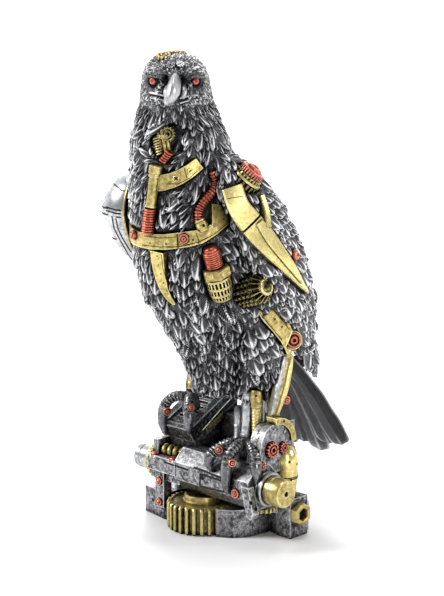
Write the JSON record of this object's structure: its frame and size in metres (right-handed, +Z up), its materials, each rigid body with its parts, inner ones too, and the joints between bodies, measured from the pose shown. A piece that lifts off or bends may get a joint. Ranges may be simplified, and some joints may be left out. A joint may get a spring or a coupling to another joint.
{
  "type": "steampunk eagle figurine",
  "caption": "Upright eagle figurine with carved feathers, brass and copper machine fittings and an armoured shoulder, perched on an engine-block plinth.",
  "frame": {"origin": "middle of the plinth's flat underside", "axes": "+Z up, the longest extent; the eagle's breast faces -Y and its left side is +X; the engine's barrel lies along X"},
  "size_m": [0.1259, 0.1513, 0.3011],
  "materials": {
    "silver_feathers": "dark wash with dry-brushed silver",
    "polished_silver": "smooth bright silver paint",
    "dark_iron": "black wash with dry-brushed silver",
    "brass": "pale brass paint with a dark wash",
    "copper": "copper paint with a dark wash"
  },
  "bodies": {
    "root": {"barrel_bolt": "copper", "bevel_gear": "brass", "breast_hose": "copper", "breast_post": "brass", "canister": "brass", "case_gear_large": "copper", "case_gear_small": "copper", "case_rim": "brass", "case_screw": "copper", "cradle_spring": "brass", "crown_gear_front": "brass", "crown_gear_top": "brass", "drive_gear": "brass", "eagle": "silver_feathers", "end_cap": "brass", "engine_block": "dark_iron", "grille_box": "dark_iron", "hex_nut": "brass", "hip_pinion": "dark_iron", "hose_fitting": "brass", "keel_plate": "brass", "knee_wheel": "copper", "knob": "polished_silver", "knob_collar": "brass", "left_eye": "copper", "left_toe_boss_1": "copper", "left_toe_boss_2": "copper", "leg_pipe": "brass", "lower_strap": "brass", "neck_coil": "copper", "neck_gear": "brass", "neck_rod": "brass", "neck_spring": "dark_iron", "pillar": "polished_silver", "post_bolt_high": "copper", "post_bolt_low": "copper", "post_coil": "copper", "rail_screw_left": "copper", "rail_screw_right": "copper", "right_eye": "copper", "right_shin": "brass", "right_toe_boss_1": "copper", "right_toe_boss_2": "copper", "shin_blade": "brass", "shin_ring": "copper", "shoulder_armour": "polished_silver", "shoulder_cap": "copper", "shoulder_gear": "dark_iron", "shoulder_ring": "brass", "small_gear": "brass", "strap_end_rivet": "copper", "strap_rivet": "copper", "thigh_plate": "brass", "upper_strap": "brass", "valve_cage": "brass", "valve_coil": "copper", "wing_blade": "brass", "wing_plate": "brass", "wing_roller": "copper"}
  },
  "joints": []
}
